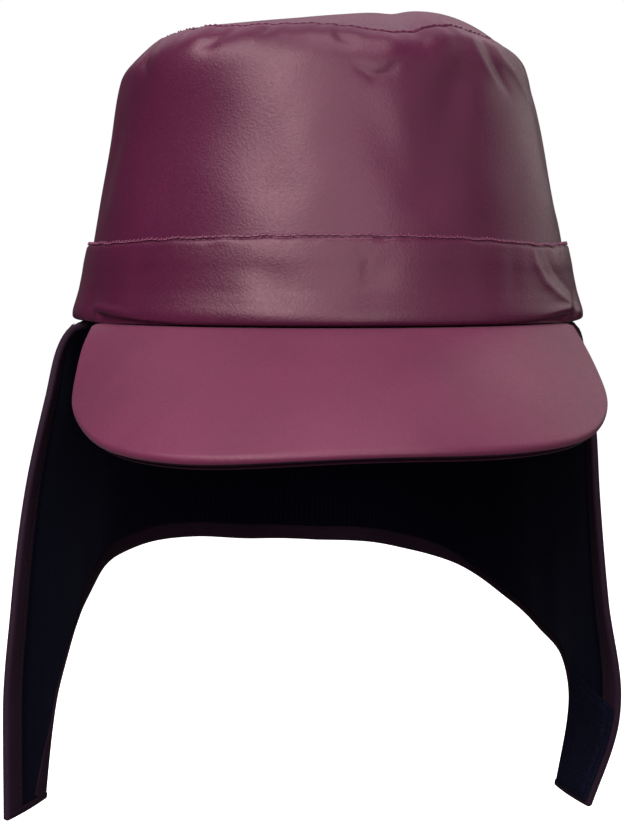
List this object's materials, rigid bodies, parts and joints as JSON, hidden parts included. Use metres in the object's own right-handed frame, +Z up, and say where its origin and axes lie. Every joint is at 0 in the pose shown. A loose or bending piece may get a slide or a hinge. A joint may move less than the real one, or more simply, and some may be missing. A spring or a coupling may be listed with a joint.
{
  "type": "rain cap",
  "caption": "Peaked rain cap of plum coated cloth with a folded band, drooping peak, and a lined neck and ear flap ending in chin straps.",
  "frame": {"origin": "middle of the head opening, level with the lower edge of the band", "axes": "+Z up towards the crown, -Y forward along the peak, +X towards the wearer's left"},
  "size_m": [0.1992, 0.2637, 0.262],
  "materials": {
    "plum_cloth": "satin coated cloth",
    "plum_band": "satin coated cloth, folded",
    "berry_peak": "fine-grained coated cloth",
    "dark_plum": "satin coated cloth",
    "black_lining": "matt knitted lining",
    "black_tape": "hook and loop tape"
  },
  "bodies": {
    "root": {"crown_side": "plum_cloth", "crown_top": "plum_cloth", "hatband": "plum_band", "peak": "berry_peak", "peak_underside": "dark_plum", "neck_flap": "dark_plum", "flap_lining": "black_lining", "hook_tape": "black_tape", "loop_tape": "black_tape"}
  },
  "joints": []
}
